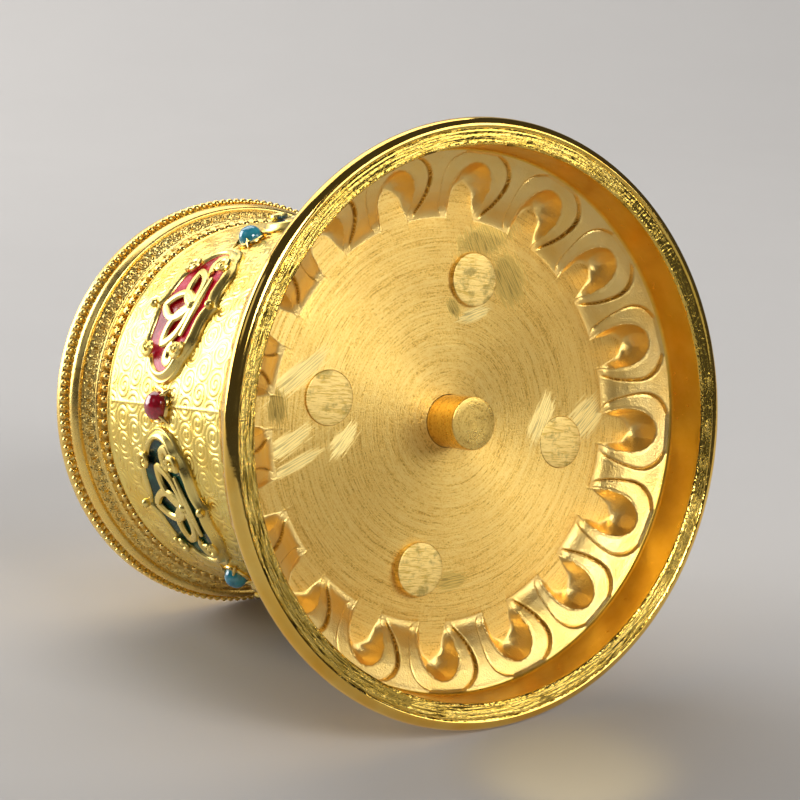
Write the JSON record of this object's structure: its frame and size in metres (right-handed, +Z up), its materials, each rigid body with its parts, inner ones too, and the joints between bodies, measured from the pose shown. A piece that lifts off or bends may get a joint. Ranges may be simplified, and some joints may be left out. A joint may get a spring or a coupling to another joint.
{
  "type": "prayer wheel",
  "caption": "Small table-top prayer wheel: a gilded lotus foot with an axle, and a drum with enamel cartouches and stones that spins under a flared roof and finial.",
  "frame": {"origin": "centre of the foot ring's flat face, which the wheel stands on", "axes": "+Z up along the axle, from the foot to the finial; +X through the middle of one of the foot's petals"},
  "size_m": [0.06, 0.06, 0.076],
  "materials": {
    "gilt_casting": "gold-plated, polished",
    "satin_gold": "gold-plated, satin turned",
    "bearing_brass": "plain turned brass",
    "spring_steel": "bright",
    "scroll_paper": "matte, tightly rolled",
    "tube_board": "matte",
    "enamel_red": "glossy translucent enamel",
    "enamel_blue": "glossy translucent enamel",
    "enamel_green": "glossy translucent enamel",
    "stone_red": "glossy cabochon",
    "stone_turquoise": "glossy cabochon"
  },
  "bodies": {
    "foot": {"lotus_base": "gilt_casting", "base_deck": "gilt_casting", "deck_rivet_1": "satin_gold", "deck_rivet_2": "satin_gold", "deck_rivet_3": "satin_gold", "deck_rivet_4": "satin_gold", "axle": "satin_gold", "bottom_washer": "bearing_brass", "top_washer": "bearing_brass", "retaining_clip": "spring_steel"},
    "drum": {"drum_shell": "gilt_casting", "drum_bottom_plate": "gilt_casting", "drum_top_plate": "gilt_casting", "bottom_bush": "bearing_brass", "top_bush": "bearing_brass", "mantra_scroll": "scroll_paper", "scroll_core": "tube_board", "cartouche_frame_1": "gilt_casting", "enamel_inlay_1": "enamel_red", "flower_motif_1": "gilt_casting", "drum_stone_1": "stone_red", "cartouche_frame_2": "gilt_casting", "enamel_inlay_2": "enamel_blue", "flower_motif_2": "gilt_casting", "drum_stone_2": "stone_turquoise", "cartouche_frame_3": "gilt_casting", "enamel_inlay_3": "enamel_green", "flower_motif_3": "gilt_casting", "drum_stone_3": "stone_red", "cartouche_frame_4": "gilt_casting", "enamel_inlay_4": "enamel_red", "flower_motif_4": "gilt_casting", "drum_stone_4": "stone_turquoise", "cartouche_frame_5": "gilt_casting", "enamel_inlay_5": "enamel_blue", "flower_motif_5": "gilt_casting", "drum_stone_5": "stone_red", "cartouche_frame_6": "gilt_casting", "enamel_inlay_6": "enamel_green", "flower_motif_6": "gilt_casting", "drum_stone_6": "stone_turquoise", "flared_roof": "gilt_casting", "finial_screw": "bearing_brass", "roof_dome": "gilt_casting", "finial_cup": "gilt_casting", "finial_jewel": "gilt_casting"}
  },
  "joints": [
    {"name": "drum_spin", "type": "hinge", "parent": "foot", "child": "drum", "pos_m": [0, 0, 0.03], "axis": [0, 0, 1], "continuous": true}
  ]
}
